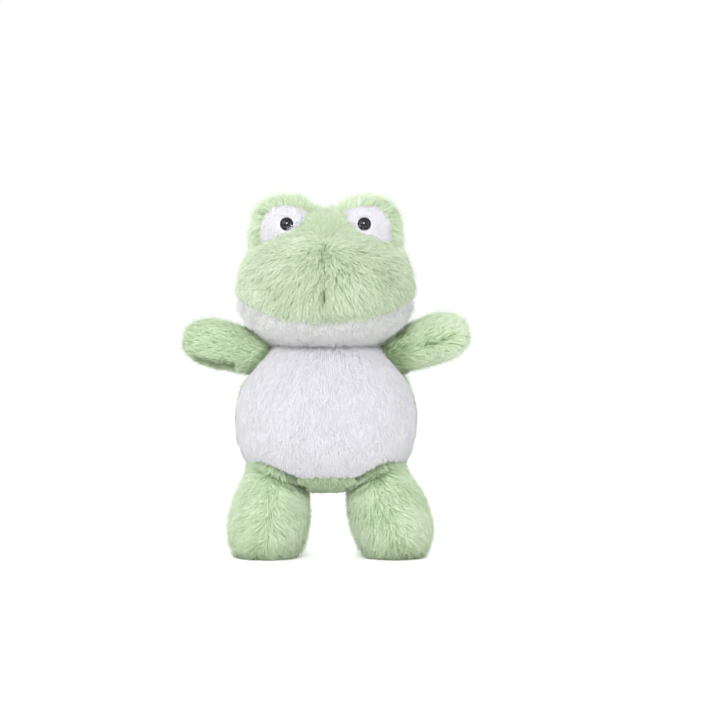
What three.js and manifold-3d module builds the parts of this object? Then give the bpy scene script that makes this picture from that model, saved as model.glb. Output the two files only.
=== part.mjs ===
// A plush frog standing on two flat soles: sewn pile-fabric skins over separate stuffing, with plastic safety eyes.
// Millimetres. +Z is up, the face looks along -Y, and the toy's own left side is +X.
import * as THREE from 'three';
import { mergeVertices } from 'three/addons/utils/BufferGeometryUtils.js';
import Module from 'manifold-3d';

const wasm = await Module();
wasm.setup();

// ---------------------------------------------------------------- driving dimensions
const SKIN = 2.2; // pile fabric with its knitted backing, without the standing pile
const FIT = 0.5; // room between a skin and the stuffing inside it
const SEAM = 0.4; // gap along a seam between two panels
const RUN = 0.5; // room between a stuffed limb and the socket it turns in

const NECK = [0, 6, 158]; // centre of the neck opening
const NECK_R = 22;
const TURN = 30; // degrees that the head turns either way
const NOD = 8; // degrees that the head leans either way
const HEAD_SEAM_Y = 12; // side seam of the head, front panels before it and back panels behind it
const MOUTH_Z = 175.4; // mouth seam at the middle of the face
const MOUTH_RISE = 19; // how much higher the mouth seam is at the cheeks
const CHEEK_X = 65;

const BODY_SEAM_Y = 3; // side seam of the body
const BELLY_LOW_Z = 63.5; // lower edge of the white belly
const SEAT_BACK_Y = 20; // where the seat panel ends behind the legs

const SHOULDER = { left: [49.5, 5, 149.2], right: [-48, 5, 148.7] };
const ARM_LIFT = { left: 18.5, right: 12.5 }; // degrees above level at rest
const ARM_SWING = [-30, 12]; // degrees from rest, down and up

const HIP = [36, 0, 61];
const LEG_SPLAY = { left: 19, right: 10 }; // degrees outwards at rest
const LEG_SWING = [-20, 45]; // degrees from rest, back and forward

const EYE_X = 28.1;
const EYE_Z = 243.8;
const EYE_R = 5; // dome of the safety eye
const SHANK_R = 1.6;
const WASHER_R = 6;

// Stuffed shapes are smooth unions of lobes: c is the centre and r the half sizes. m rounds the section across the pole and n the one along it.
const TORSO = {
  at: [0, 5, 104],
  k: 9,
  lobes: [
    { c: [0, 3, 97.5], r: [62.5, 50, 48], m: 2, n: 2.4, pole: 'z' },
    { c: [0, 5, 118.2], r: [51.5, 44, 45.5], m: 2, n: 2.2, pole: 'z' },
  ],
};
const bump = (s) => ({ c: [30 * s, 4, 231.9], r: [22, 23, 28], m: 2.6, n: 2.6, pole: 'y' });
const HEAD = {
  at: [0, 1, 205],
  k: 11,
  lobes: [
    { c: [0, 13, 206.5], r: [53, 41.5, 46.5], m: 2, n: 2.2, pole: 'z' },
    { c: [0, -13, 198], r: [60.3, 41.5, 36.5], m: 2, n: 2.3, pole: 'z' },
    { c: [0, -2, 188], r: [55, 44, 31], m: 2, n: 2.5, pole: 'z' },
    bump(1),
    bump(-1),
  ],
};
const arm = (s) => ({
  at: [22 * s, 0, 0],
  k: 8,
  lobes: [
    { c: [0, 0, 0], r: [13, 11, 13], m: 2, n: 2.2, pole: 'y' },
    { c: [16 * s, 0, 0], r: [15, 11.5, 13.5], m: 2, n: 2.2, pole: 'y' },
    { c: [33.5 * s, 0, 0.5], r: [21.5, 12.5, 14.9], m: 2.3, n: 2.2, pole: 'y' },
  ],
});
const LEG = {
  at: [0, -2, -20],
  k: 9,
  lobes: [
    { c: [0, 0, 0], r: [18.5, 25, 25], m: 2, n: 2, pole: 'y' },
    { c: [0, -1.5, -19], r: [21.4, 25.3, 21], m: 2, n: 2.2, pole: 'z' },
    { c: [0, -3, -37.5], r: [25.4, 28.5, 29.5], m: 2, n: 2.25, pole: 'z' },
  ],
};

// ---------------------------------------------------------------- shape helpers
const rad = THREE.MathUtils.degToRad;

function level(p, body, shrink = 0) {
  let sum = 0;
  for (const { c, r, m, n, pole } of body.lobes) {
    const u = Math.abs(p[0] - c[0]) / (r[0] - shrink);
    const v = Math.abs(p[1] - c[1]) / (r[1] - shrink);
    const w = Math.abs(p[2] - c[2]) / (r[2] - shrink);
    const [a, b, h] = pole === 'y' ? [u, w, v] : [u, v, w];
    const q = (((a ** m + b ** m) ** (1 / m)) ** n + h ** n) ** (1 / n);
    sum += Math.max(q, 1e-4) ** -body.k;
  }
  return sum ** (-1 / body.k);
}

function reach(from, dir, body, shrink = 0, far = 140) {
  let lo = 0;
  let hi = far;
  for (let i = 0; i < 44; i++) {
    const t = (lo + hi) / 2;
    if (level([from[0] + dir[0] * t, from[1] + dir[1] * t, from[2] + dir[2] * t], body, shrink) < 1) lo = t;
    else hi = t;
  }
  return (lo + hi) / 2;
}

// The closed surface of a stuffed shape, seen from one point inside it.
function stuffed(body, detail, shrink = 0) {
  const g = new THREE.IcosahedronGeometry(1, detail);
  const pos = g.attributes.position;
  for (let i = 0; i < pos.count; i++) {
    const d = new THREE.Vector3().fromBufferAttribute(pos, i).normalize();
    const t = reach(body.at, [d.x, d.y, d.z], body, shrink);
    pos.setXYZ(i, body.at[0] + d.x * t, body.at[1] + d.y * t, body.at[2] + d.z * t);
  }
  return g;
}

function solid(geometry, matrix) {
  let g = geometry.clone();
  if (matrix) g.applyMatrix4(matrix);
  for (const name of Object.keys(g.attributes)) if (name !== 'position') g.deleteAttribute(name);
  g = mergeVertices(g, 1e-4);
  const at = g.attributes.position.array;
  const index = g.index.array;
  let tri = [];
  let volume = 0;
  for (let i = 0; i < index.length; i += 3) {
    const [a, b, c] = [index[i], index[i + 1], index[i + 2]];
    if (a === b || b === c || c === a) continue;
    tri.push(a, b, c);
    const A = new THREE.Vector3().fromArray(at, a * 3);
    const B = new THREE.Vector3().fromArray(at, b * 3);
    const C = new THREE.Vector3().fromArray(at, c * 3);
    volume += A.dot(B.cross(C)) / 6;
  }
  if (volume < 0) tri = tri.map((_, i) => tri[i % 3 === 0 ? i : i % 3 === 1 ? i + 1 : i - 1]);
  return new wasm.Manifold(
    new wasm.Mesh({ numProp: 3, vertProperties: new Float32Array(at), triVerts: new Uint32Array(tri) }),
  );
}

const join = (list) => list.reduce((a, b) => a.add(b));

function block(x0, x1, y0, y1, z0, z1) {
  const g = new THREE.BoxGeometry(x1 - x0, y1 - y0, z1 - z0);
  g.translate((x0 + x1) / 2, (y0 + y1) / 2, (z0 + z1) / 2);
  return solid(g);
}

// A front-view outline of [x, z] points, run along Y from y0 to y1.
function prism(points, y0, y1) {
  const shape = new THREE.Shape(points.map(([x, z]) => new THREE.Vector2(x, z)));
  const g = new THREE.ExtrudeGeometry(shape, { depth: y1 - y0, bevelEnabled: false });
  g.rotateX(Math.PI / 2);
  g.translate(0, y1, 0);
  return solid(g);
}

// Moves every edge of a closed outline inwards by d, or outwards for a negative d.
function inset(points, d) {
  let area = 0;
  points.forEach(([x, z], i) => {
    const [p, q] = points[(i + 1) % points.length];
    area += x * q - p * z;
  });
  const turn = area > 0 ? 1 : -1;
  const lines = points.map(([x, z], i) => {
    const [p, q] = points[(i + 1) % points.length];
    const l = Math.hypot(p - x, q - z);
    const n = [(-(q - z) / l) * turn, ((p - x) / l) * turn];
    return { at: [x + n[0] * d, z + n[1] * d], dir: [(p - x) / l, (q - z) / l] };
  });
  return lines.map((b, i) => {
    const a = lines[(i + lines.length - 1) % lines.length];
    const cross = a.dir[0] * b.dir[1] - a.dir[1] * b.dir[0];
    const t = ((b.at[0] - a.at[0]) * b.dir[1] - (b.at[1] - a.at[1]) * b.dir[0]) / cross;
    return [a.at[0] + a.dir[0] * t, a.at[1] + a.dir[1] * t];
  });
}

const ball = (c, r, rows = 8) => {
  const g = new THREE.SphereGeometry(r, rows * 2, rows);
  g.rotateX(Math.PI / 2);
  g.translate(...c);
  return solid(g);
};

const lathe = (profile, around) => {
  const g = new THREE.LatheGeometry(profile.map(([r, z]) => new THREE.Vector2(r, z)), around);
  g.rotateX(Math.PI / 2);
  return g;
};

// Turning about an axis through a point, by degrees.
function turned(at, axis, degrees) {
  return new THREE.Matrix4()
    .makeTranslation(...at)
    .multiply(new THREE.Matrix4().makeRotationAxis(new THREE.Vector3(...axis).normalize(), rad(degrees)))
    .multiply(new THREE.Matrix4().makeTranslation(-at[0], -at[1], -at[2]));
}

// ---------------------------------------------------------------- materials
const fabric = (color, roughness = 0.95) => new THREE.MeshStandardMaterial({ color, roughness, metalness: 0 });
const GREEN = '#c6dcb4';
const WHITE = '#ecebee';
const STUFFING = '#f4f3ef';

const frog = new THREE.Group();
const torsoGroup = new THREE.Group();
frog.add(torsoGroup);

function part(name, shape, material, group) {
  group.updateWorldMatrix(true, false);
  const { vertProperties, triVerts } = shape.getMesh();
  const g = new THREE.BufferGeometry();
  g.setAttribute('position', new THREE.BufferAttribute(new Float32Array(vertProperties), 3));
  g.setIndex(new THREE.BufferAttribute(new Uint32Array(triVerts), 1));
  g.applyMatrix4(group.matrixWorld.clone().invert());
  g.computeVertexNormals();
  const mesh = new THREE.Mesh(g, material);
  mesh.name = name;
  group.add(mesh);
}

// The largest solid of a cut, so that a sliver left at a corner is dropped.
function main(shape) {
  return shape.decompose().reduce((a, b) => (b.volume() > a.volume() ? b : a));
}

// ---------------------------------------------------------------- arms
const arms = {};
for (const [side, s] of [['left', 1], ['right', -1]]) {
  const at = SHOULDER[side];
  const group = new THREE.Group();
  group.position.set(...at);
  group.rotation.y = -s * rad(ARM_LIFT[side]);
  torsoGroup.add(group);
  group.updateWorldMatrix(true, false);
  const body = arm(s);
  const W = group.matrixWorld.clone();
  // The top of a raised arm gives way to the cheek of a head that is turned and leant towards it.
  const cheek = (extra) => {
    const M = turned(at, [0, -s, 0], -ARM_SWING[1])
      .multiply(turned(NECK, [0, 0, 1], s * TURN))
      .multiply(turned(NECK, [1, 0, 0], NOD));
    return solid(stuffed(HEAD, 3, -(RUN + 1.3 + extra)), M);
  };
  arms[side] = {
    group,
    at,
    axis: [0, -s, 0], // a positive turn lifts the hand
    outer: solid(stuffed(body, 3), W).subtract(cheek(0)),
    inner: solid(stuffed(body, 2, SKIN), W).subtract(cheek(SKIN)),
    fill: solid(stuffed(body, 2, SKIN + FIT), W).subtract(cheek(SKIN + FIT + 0.3)),
    body,
    W,
    angles: ARM_SWING,
    deepest: ARM_SWING[0],
  };
}

// ---------------------------------------------------------------- legs
const legs = {};
for (const [side, s] of [['left', 1], ['right', -1]]) {
  const at = [HIP[0] * s, HIP[1], HIP[2]];
  const group = new THREE.Group();
  group.position.set(...at);
  group.rotation.y = -s * rad(LEG_SPLAY[side]);
  torsoGroup.add(group);
  group.updateWorldMatrix(true, false);
  const W = group.matrixWorld.clone();
  const axis = new THREE.Vector3(-1, 0, 0).transformDirection(W).toArray(); // a positive turn swings the foot forward
  legs[side] = {
    group,
    at,
    axis,
    outer: solid(stuffed(LEG, 3), W).intersect(block(-200, 200, -200, 200, 0, 200)),
    inner: solid(stuffed(LEG, 2, SKIN), W).intersect(block(-200, 200, -200, 200, SKIN, 200)),
    fill: solid(stuffed(LEG, 2, SKIN + FIT), W).intersect(block(-200, 200, -200, 200, SKIN + FIT, 200)),
    body: LEG,
    W,
    angles: [LEG_SWING[0], 25, LEG_SWING[1]],
    deepest: LEG_SWING[1],
  };
}

// Room in the body for a limb: its round root, and the whole limb at the ends of its swing.
function socket({ body, W, at, axis }, angles, extra, detail = 1) {
  const root = { at: body.lobes[0].c, k: body.k, lobes: [body.lobes[0]] };
  const list = [solid(stuffed(root, detail, -(RUN + extra + 0.5)), W)];
  for (const degrees of angles) {
    const M = turned(at, axis, degrees).multiply(W);
    list.push(solid(stuffed(body, detail, -(RUN + extra + 0.9)), M));
  }
  return join(list);
}

// ---------------------------------------------------------------- torso
const limbs = [...Object.values(arms), ...Object.values(legs)];
const neckRoom = ball(NECK, NECK_R + RUN);
const torsoOuter = solid(stuffed(TORSO, 4));
const torsoInner = solid(stuffed(TORSO, 3, SKIN));
const torsoSkin = torsoOuter.subtract(torsoInner).subtract(join([neckRoom, ...limbs.map((l) => socket(l, l.angles, 1.4))]));
const h = SEAM / 2;
const seatBox = (e) => block(-90, 90, -90, SEAT_BACK_Y + e, 20, BELLY_LOW_Z + e);
part(
  'belly_panel',
  main(torsoSkin.intersect(block(-90, 90, -90, BODY_SEAM_Y - h, BELLY_LOW_Z + h, 200))),
  fabric(WHITE),
  torsoGroup,
);
part('seat_panel', main(torsoSkin.intersect(seatBox(-h))), fabric(GREEN), torsoGroup);
for (const [side, x0, x1] of [['left', h, 90], ['right', -90, -h]]) {
  const piece = torsoSkin.intersect(block(x0, x1, BODY_SEAM_Y + h, 90, 20, 200)).subtract(seatBox(h));
  part(`back_panel_${side}`, main(piece), fabric(GREEN), torsoGroup);
}
part('torso_stuffing', main(solid(stuffed(TORSO, 3, SKIN + FIT)).subtract(join([neckRoom, ...limbs.map((l) => socket(l, [l.deepest], 2.4))]))), fabric(STUFFING), torsoGroup);

// The hand-sewn ladder stitch that closes the back seam after stuffing.
{
  const points = [];
  for (let i = 0; i <= 12; i++) {
    const z = 78 + i * 3.2;
    const x = i % 2 ? 1.7 : -1.7;
    const y = reach([x, 5, z], [0, 1, 0], TORSO) + 5 + 0.85;
    points.push(new THREE.Vector3(x, y, z));
  }
  const ring = new THREE.Shape();
  for (let i = 0; i < 4; i++) {
    const a = (i / 4) * Math.PI * 2;
    if (i) ring.lineTo(0.4 * Math.cos(a), 0.4 * Math.sin(a));
    else ring.moveTo(0.4, 0);
  }
  const g = new THREE.ExtrudeGeometry(ring, {
    steps: 25,
    bevelEnabled: false,
    extrudePath: new THREE.CatmullRomCurve3(points),
  });
  part('closing_stitch', solid(g), fabric('#b9cda6', 0.8), torsoGroup);
}

for (const side of ['left', 'right']) {
  const { group, outer, inner, fill, at } = arms[side];
  const skin = outer.subtract(inner);
  part(`arm_${side}_front`, skin.intersect(block(-200, 200, -200, at[1] - h, 0, 300)), fabric(GREEN), group);
  part(`arm_${side}_back`, skin.intersect(block(-200, 200, at[1] + h, 200, 0, 300)), fabric(GREEN), group);
  part(`arm_${side}_stuffing`, fill, fabric(STUFFING), group);
}

for (const [side, s] of [['left', 1], ['right', -1]]) {
  const { group, outer, inner, fill } = legs[side];
  const W = group.matrixWorld;
  const skin = outer.subtract(inner);
  const half = (x0, x1) => {
    const g = new THREE.BoxGeometry(x1 - x0, 200, 200);
    g.translate((x0 + x1) / 2, 0, 0);
    return solid(g, W);
  };
  part(`leg_${side}_outer`, skin.intersect(s > 0 ? half(h, 80) : half(-80, -h)), fabric(GREEN), group);
  part(`leg_${side}_inner`, skin.intersect(s > 0 ? half(-80, -h) : half(h, 80)), fabric(GREEN), group);
  part(`leg_${side}_stuffing`, fill, fabric(STUFFING), group);
}

// ---------------------------------------------------------------- neck
const neckGroup = new THREE.Group();
neckGroup.position.set(...NECK);
torsoGroup.add(neckGroup);
part('neck_stuffing', ball(NECK, NECK_R), fabric(STUFFING), neckGroup);

// ---------------------------------------------------------------- head
const headGroup = new THREE.Group();
neckGroup.add(headGroup);

// The hollow under the head. It follows the shoulders below at every turn, and opens to the front and back by as much as the head leans.
function underHead(lift) {
  const profile = [[0, 90]];
  for (const r of [66, 54, 48, 41, 33, 20]) {
    const top = reach([r, TORSO.at[1], 100], [0, 0, 1], TORSO);
    profile.push([r + (r > 50 ? 1.5 : 0), (top > 0.5 ? 100 + top : 112 - (r - 54)) + 0.9 + lift]);
    if (r === 66) profile.splice(1, 0, [r + 1.5, 90]);
  }
  profile.push([0, reach([0, TORSO.at[1], 100], [0, 0, 1], TORSO) + 100 + 0.9 + lift]);
  const g = lathe(profile, 16);
  const pos = g.attributes.position;
  for (let i = 0; i < pos.count; i++) {
    if (pos.getZ(i) > 91) pos.setZ(i, pos.getZ(i) + Math.abs(pos.getY(i)) * Math.tan(rad(NOD)));
  }
  g.translate(NECK[0], NECK[1], 0);
  return solid(g);
}
const headOuter = solid(stuffed(HEAD, 5)).subtract(underHead(0)).subtract(neckRoom);
const headInner = solid(stuffed(HEAD, 3, SKIN)).subtract(underHead(SKIN)).add(neckRoom);
const headSkin = headOuter.subtract(headInner);
const headFill = solid(stuffed(HEAD, 3, SKIN + FIT)).subtract(underHead(SKIN + FIT)).subtract(ball(NECK, NECK_R + RUN + 0.6));

const front = block(-90, 90, -90, HEAD_SEAM_Y - h, 100, 300);
const mouth = (e) => {
  const line = [];
  for (let x = -90; x <= 90; x += 7.5) line.push([x, MOUTH_Z + e + MOUTH_RISE * (Math.abs(x) / CHEEK_X) ** 2.4]);
  return prism([...line, [90, 100], [-90, 100]], -90, 90);
};
// The eye patch and the hood round it, as outlines on the +X side of the face.
const PATCH = [[9.8, 249.2], [17.5, 251.9], [25, 253.3], [32.5, 253.1], [38, 250.9], [41.5, 247.2], [43.8, 241.5], [44.8, 236], [45.6, 226], [33, 226], [24, 231], [14, 239], [9, 246]];
const HOOD = [[9.5, 285], [9.5, 252], [11.2, 248.2], [14.6, 244.2], [20.2, 239.4], [27.5, 234.8], [34, 231.2], [42, 229.6], [80, 229.6], [80, 285]];
const mirrored = (points, s) => points.map(([x, z]) => [x * s, z]);

part('chin_panel', main(headSkin.intersect(front).intersect(mouth(-h))), fabric(WHITE), headGroup);
const upper = headSkin.intersect(front).subtract(mouth(h));
for (const [side, s] of [['left', 1], ['right', -1]]) {
  const hoodIn = prism(inset(mirrored(HOOD, s), h), -90, 90);
  const hoodOut = prism(inset(mirrored(HOOD, s), -h), -90, 90);
  const patchIn = prism(inset(mirrored(PATCH, s), h), -90, 0);
  const patchOut = prism(inset(mirrored(PATCH, s), -h), -90, 0.4);
  const half = s > 0 ? block(h, 90, -90, 90, 100, 300) : block(-90, -h, -90, 90, 100, 300);

  // The eye: a domed cap on a shank through the patch, held behind by a push-on washer.
  const eyeY = HEAD.at[1] - reach([EYE_X * s, HEAD.at[1], EYE_Z], [0, -1, 0], HEAD);
  const step = 0.05;
  const n = new THREE.Vector3(
    level([EYE_X * s + step, eyeY, EYE_Z], HEAD) - level([EYE_X * s - step, eyeY, EYE_Z], HEAD),
    level([EYE_X * s, eyeY + step, EYE_Z], HEAD) - level([EYE_X * s, eyeY - step, EYE_Z], HEAD),
    level([EYE_X * s, eyeY, EYE_Z + step], HEAD) - level([EYE_X * s, eyeY, EYE_Z - step], HEAD),
  ).normalize();
  const seat = new THREE.Matrix4()
    .makeTranslation(EYE_X * s, eyeY, EYE_Z)
    .multiply(new THREE.Matrix4().makeRotationFromQuaternion(new THREE.Quaternion().setFromUnitVectors(new THREE.Vector3(0, 0, 1), n)));
  const hole = solid(lathe([[0, -6], [SHANK_R + 0.4, -6], [SHANK_R + 0.4, 6], [0, 6]], 12), seat);
  const pocket = solid(lathe([[0, -15], [WASHER_R + 0.8, -15], [WASHER_R + 0.8, 8], [0, 8]], 12), seat);
  const dome = [[0, -12], [SHANK_R, -12], [SHANK_R, 0.35], [EYE_R - 0.3, 0.35], [EYE_R, 0.8]];
  for (let i = 1; i < 4; i++) {
    const a = (i / 4) * (Math.PI / 2);
    dome.push([EYE_R * Math.cos(a), 0.8 + 3.2 * Math.sin(a)]);
  }
  dome.push([0, 4]);
  const back = -(SKIN + 3.2);
  const washer = [
    [SHANK_R + 0.35, back],
    [WASHER_R, back],
    [WASHER_R, back - 1.4],
    [3.4, back - 1.8],
    [3.2, back - 4],
    [SHANK_R + 0.35, back - 4],
    [SHANK_R + 0.35, back],
  ];

  part(`eye_patch_${side}`, main(upper.intersect(hoodIn).intersect(patchIn).subtract(hole)), fabric(WHITE), headGroup);
  part(`eye_hood_${side}`, main(upper.intersect(hoodIn).subtract(patchOut)), fabric(GREEN), headGroup);
  part(`muzzle_panel_${side}`, main(upper.intersect(half).subtract(hoodOut)), fabric(GREEN), headGroup);
  const rear = headSkin.intersect(half).intersect(block(-90, 90, HEAD_SEAM_Y + h, 90, 100, 300));
  part(`head_back_${side}`, main(rear), fabric(GREEN), headGroup);
  part(`eye_${side}`, solid(lathe(dome, 12), seat), new THREE.MeshStandardMaterial({ color: '#17191b', roughness: 0.12, metalness: 0 }), headGroup);
  part(`eye_washer_${side}`, solid(lathe(washer, 10), seat), new THREE.MeshStandardMaterial({ color: '#e9e9e6', roughness: 0.5, metalness: 0 }), headGroup);
  arms[side].pocket = pocket;
}
part('head_stuffing', main(headFill.subtract(arms.left.pocket).subtract(arms.right.pocket)), fabric(STUFFING), headGroup);

export default frog;
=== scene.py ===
"""Looks for a plush frog: sewn skins, combed pile, filling, eyes and thread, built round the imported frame.

Lengths in the shape data are millimetres, as in the part's own source, and everything is made in the row frame.
"""

import math

import bmesh
import bpy
import numpy as np
from mathutils import Matrix, Vector
from mathutils.kdtree import KDTree


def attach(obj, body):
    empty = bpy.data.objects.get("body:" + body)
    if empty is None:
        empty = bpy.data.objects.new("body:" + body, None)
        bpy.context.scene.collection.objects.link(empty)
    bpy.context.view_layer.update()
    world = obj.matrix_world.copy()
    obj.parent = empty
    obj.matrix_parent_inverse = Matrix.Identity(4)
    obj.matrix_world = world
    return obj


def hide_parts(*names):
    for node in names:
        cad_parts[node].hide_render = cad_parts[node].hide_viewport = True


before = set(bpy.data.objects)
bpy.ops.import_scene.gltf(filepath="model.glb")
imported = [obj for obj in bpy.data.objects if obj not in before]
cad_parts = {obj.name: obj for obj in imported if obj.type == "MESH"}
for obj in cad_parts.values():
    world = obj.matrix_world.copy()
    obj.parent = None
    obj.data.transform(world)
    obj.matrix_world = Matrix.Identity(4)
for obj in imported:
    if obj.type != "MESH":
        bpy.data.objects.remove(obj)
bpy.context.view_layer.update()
scene = bpy.context.scene
MM = 0.001
SKIN = 2.2

# ------------------------------------------------------------------ shapes


class Shape:
    """A stuffed form: the smooth union of rounded lobes, with its place in the row frame."""

    def __init__(self, at, k, lobes, origin=(0, 0, 0), tilt=0.0):
        c, s = math.cos(math.radians(tilt)), math.sin(math.radians(tilt))
        self.R = np.array([[c, 0, s], [0, 1, 0], [-s, 0, c]])  # about Y
        self.t = np.array(origin, float)
        self.k = k
        self.lobes = [
            (np.array(cc, float), np.array(r, float), m, n, pole)
            for cc, r, m, n, pole in lobes
        ]
        self.at = self.world(np.array([at], float))[0]

    def local(self, P):
        return (P - self.t) @ self.R

    def world(self, P):
        return P @ self.R.T + self.t

    def level(self, P):
        L = self.local(P)
        total = 0.0
        for c, r, m, n, pole in self.lobes:
            a = np.abs(L - c) / r
            u, v, h = (
                (a[:, 0], a[:, 2], a[:, 1]) if pole == "y" else (a[:, 0], a[:, 1], a[:, 2])
            )
            s = np.sqrt(u * u + v * v) if m == 2 else (u**m + v**m) ** (1 / m)
            q = (s**n + h**n) ** (1 / n)
            total = total + np.maximum(q, 1e-4) ** -self.k
        return total ** (-1 / self.k)

    def frame(self, P):
        """The outward direction and the height above the surface, to first order."""
        e = 0.05
        base = self.level(P)
        g = np.stack(
            [self.level(P + np.eye(3)[i] * e) - base for i in range(3)], axis=1
        )
        g /= e
        size = np.maximum(np.linalg.norm(g, axis=1), 1e-6)
        return g / size[:, None], (base - 1) / size

    def height(self, P):
        return self.frame(P)[1]

    def surface(self, P):
        """Each point moved along the ray from the centre onto the surface."""
        D = P - self.at
        D /= np.linalg.norm(D, axis=1)[:, None]
        lo, hi = np.zeros(len(P)), np.full(len(P), 140.0)
        for _ in range(26):
            t = (lo + hi) / 2
            inside = self.level(self.at + D * t[:, None]) < 1
            lo, hi = np.where(inside, t, lo), np.where(inside, hi, t)
        return self.at + D * ((lo + hi) / 2)[:, None]


TORSO = Shape(
    (0, 5, 104),
    9,
    [
        ((0, 3, 97.5), (62.5, 50, 48), 2, 2.4, "z"),
        ((0, 5, 118.2), (51.5, 44, 45.5), 2, 2.2, "z"),
    ],
)
HEAD = Shape(
    (0, 1, 205),
    11,
    [
        ((0, 13, 206.5), (53, 41.5, 46.5), 2, 2.2, "z"),
        ((0, -13, 198), (60.3, 41.5, 36.5), 2, 2.3, "z"),
        ((0, -2, 188), (55, 44, 31), 2, 2.5, "z"),
        ((30, 4, 231.9), (22, 23, 28), 2.6, 2.6, "y"),
        ((-30, 4, 231.9), (22, 23, 28), 2.6, 2.6, "y"),
    ],
)


def arm_shape(s, origin, lift):
    return Shape(
        (22 * s, 0, 0),
        8,
        [
            ((0, 0, 0), (13, 11, 13), 2, 2.2, "y"),
            ((16 * s, 0, 0), (15, 11.5, 13.5), 2, 2.2, "y"),
            ((33.5 * s, 0, 0.5), (21.5, 12.5, 14.9), 2.3, 2.2, "y"),
        ],
        origin,
        -s * lift,
    )


def leg_shape(s, origin, splay):
    return Shape(
        (0, -2, -20),
        9,
        [
            ((0, 0, 0), (18.5, 25, 25), 2, 2, "y"),
            ((0, -1.5, -19), (21.4, 25.3, 21), 2, 2.2, "z"),
            ((0, -3, -37.5), (25.4, 28.5, 29.5), 2, 2.25, "z"),
        ],
        origin,
        -s * splay,
    )


SHAPES = {
    "torso": TORSO,
    "head": HEAD,
    "arm_left": arm_shape(1, (49.5, 5, 149.2), 18.5),
    "arm_right": arm_shape(-1, (-48, 5, 148.7), 12.5),
    "leg_left": leg_shape(1, (36, 0, 61), 19),
    "leg_right": leg_shape(-1, (-36, 0, 61), 10),
}
EYE_X, EYE_Z, EYE_R = 28.1, 243.8, 5.0


def eye_seat(s):
    """The point on the face under an eye, and the direction it looks."""
    p = np.array([[EYE_X * s, 1.0, EYE_Z]])
    lo, hi = 0.0, 140.0
    for _ in range(40):
        t = (lo + hi) / 2
        inside = HEAD.level(p + np.array([[0, -t, 0]]))[0] < 1
        lo, hi = (t, hi) if inside else (lo, t)
    p = p + np.array([[0, -lo, 0]])
    return p[0], HEAD.frame(p)[0][0]


EYES = {s: eye_seat(s) for s in (1, -1)}


def unit(V):
    return V / np.maximum(np.linalg.norm(V, axis=-1, keepdims=True), 1e-9)


def across(D, N):
    """The part of D that lies in the surface with normal N, at unit length."""
    return unit(D - (D * N).sum(1)[:, None] * N)


def waves(P, size, seed, n=16):
    """Smooth noise with a wavelength of about size, near a standard deviation of 1."""
    rng = np.random.default_rng(seed)
    K = unit(rng.normal(size=(n, 3))) * (2 * np.pi / size) * rng.uniform(0.6, 1.5, (n, 1))
    return np.cos(P @ K.T + rng.uniform(0, 2 * np.pi, n)).sum(1) * math.sqrt(2 / n)


def smooth(x, a, b):
    t = np.clip((x - a) / (b - a), 0, 1)
    return t * t * (3 - 2 * t)


def spread_from(source, P):
    return P - np.array(source)


# ------------------------------------------------------------------ materials


def socket(node, *names):
    for n in names:
        if n in node.inputs:
            return node.inputs[n]
    raise KeyError(names)


def srgb(r, g, b):
    def lin(c):
        c /= 255
        return c / 12.92 if c <= 0.04045 else ((c + 0.055) / 1.055) ** 2.4

    return (lin(r), lin(g), lin(b), 1.0)


def new_material(name):
    m = bpy.data.materials.new(name)
    m.use_nodes = True
    t = m.node_tree
    t.nodes.clear()
    out = t.nodes.new("ShaderNodeOutputMaterial")
    p = t.nodes.new("ShaderNodeBsdfPrincipled")
    t.links.new(p.outputs["BSDF"], out.inputs["Surface"])
    return m, t, p


def ramp(tree, stops, source):
    r = tree.nodes.new("ShaderNodeValToRGB")
    r.color_ramp.interpolation = "LINEAR"
    e = r.color_ramp.elements
    e[0].position, e[0].color = stops[0]
    e[1].position, e[1].color = stops[-1]
    for pos, col in stops[1:-1]:
        x = e.new(pos)
        x.color = col
    tree.links.new(source, r.inputs["Fac"])
    return r.outputs["Color"]


def mix(tree, fac, a, b, kind="MIX"):
    n = tree.nodes.new("ShaderNodeMix")
    n.data_type = "RGBA"
    n.blend_type = kind
    ins = [i for i in n.inputs if i.enabled]
    out = [o for o in n.outputs if o.enabled][0]
    for sock, v in zip(ins, (fac, a, b)):
        if isinstance(v, bpy.types.NodeSocket):
            tree.links.new(v, sock)
        else:
            sock.default_value = v
    return out


def pile_material(name, roots, tips, sheen, tint, rough=0.8, through=0.0):
    """Standing pile: each fibre has its own tone, and is deeper in colour towards its root, partly as its own colour
    and partly as painted shade deep in the pile.
    """
    m, t, p = new_material(name)
    tone = t.nodes.new("ShaderNodeAttribute")
    tone.attribute_name = "tone"
    along = t.nodes.new("ShaderNodeAttribute")
    along.attribute_name = "along"
    curve = t.nodes.new("ShaderNodeMath")
    curve.operation = "POWER"
    t.links.new(along.outputs["Fac"], curve.inputs[0])
    curve.inputs[1].default_value = 1.0
    col = mix(
        t,
        curve.outputs[0],
        ramp(t, roots, tone.outputs["Fac"]),
        ramp(t, tips, tone.outputs["Fac"]),
    )
    t.links.new(col, p.inputs["Base Color"])
    p.inputs["Roughness"].default_value = rough
    socket(p, "Sheen Weight").default_value = sheen
    socket(p, "Sheen Roughness").default_value = 0.45
    socket(p, "Sheen Tint").default_value = tint
    socket(p, "Specular IOR Level").default_value = 0.2
    socket(p, "Subsurface Weight").default_value = through
    socket(p, "Subsurface Radius").default_value = (1.0, 1.0, 1.0)
    socket(p, "Subsurface Scale").default_value = 0.0006
    return m


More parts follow.
